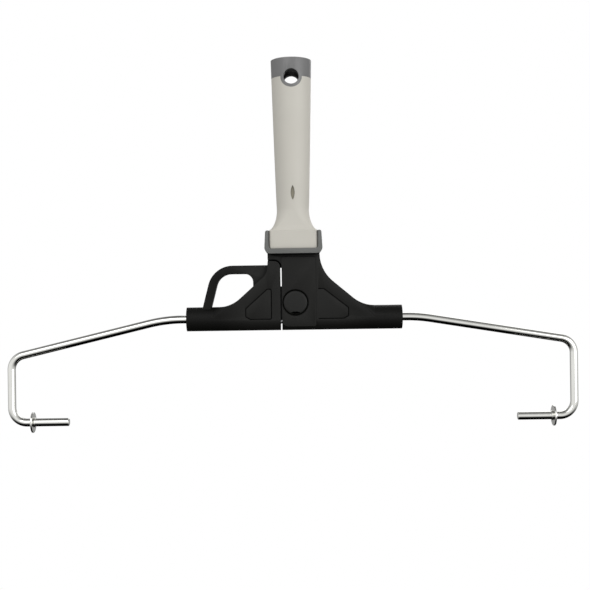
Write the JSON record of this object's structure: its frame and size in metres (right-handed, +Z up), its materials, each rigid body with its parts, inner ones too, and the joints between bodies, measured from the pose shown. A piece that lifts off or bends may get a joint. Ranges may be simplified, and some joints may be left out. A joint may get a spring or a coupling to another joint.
{
  "type": "paint roller frame",
  "caption": "Wide double-arm roller frame: waisted grip with a hanging hole, a yoke with a sprung pull-out half, finger loop and push button, and bent rods ending in inward spindles.",
  "frame": {"origin": "centre of the hanging hole near the free end of the handle", "axes": "+Z up the handle towards its free end, X along the roller's axis with the pull-out half on -X, front face towards -Y"},
  "size_m": [0.5014, 0.0356, 0.3238],
  "materials": {
    "cap": "moulded dark grey",
    "grip": "moulded warm light grey",
    "core": "moulded",
    "bumper": "satin grey",
    "yoke": "moulded near black",
    "button": "moulded near black",
    "tongue": "moulded black",
    "acetal": "natural",
    "pad": "plain",
    "rod": "bright plated",
    "steel": "zinc plated"
  },
  "bodies": {
    "frame": {"end_cap": "cap", "grip": "grip", "handle_core": "core", "pole_socket": "core", "handle_pin": "steel", "collar_bumper": "bumper", "body_front": "yoke", "body_rear": "yoke", "body_screws": "steel", "guide_block": "acetal", "right_rod": "rod", "right_rod_pins": "steel", "right_stop_rings": "rod", "closing_spring": "steel", "button_spring": "steel"},
    "left_half": {"slider_front": "yoke", "slider_rear": "yoke", "slider_screws": "steel", "guide_tongue": "tongue", "guide_rod": "steel", "spring_cup": "steel", "retaining_clip": "steel", "left_rod": "rod", "left_rod_pins": "steel", "left_stop_rings": "rod"},
    "button": {"lock_button": "button", "brake_pad": "pad", "pad_screw": "steel"},
    "left_stop_washer": {"left_washer": "rod"},
    "right_stop_washer": {"right_washer": "rod"}
  },
  "joints": [
    {"name": "pull_out", "type": "slide", "parent": "frame", "child": "left_half", "axis": [-1, 0, 0], "range_m": [0, 0.035], "stiffness_N_per_m": 250, "deforming": ["closing_spring"]},
    {"name": "button_press", "type": "slide", "parent": "frame", "child": "button", "axis": [0, 1, 0], "range_m": [0, 0.0018], "stiffness_N_per_m": 600, "deforming": ["button_spring"]},
    {"name": "left_washer_spin", "type": "hinge", "parent": "left_half", "child": "left_stop_washer", "pos_m": [-0.23085, 0, -0.2981], "axis": [1, 0, 0], "continuous": true},
    {"name": "right_washer_spin", "type": "hinge", "parent": "frame", "child": "right_stop_washer", "pos_m": [0.22685, 0, -0.2981], "axis": [1, 0, 0], "continuous": true}
  ]
}
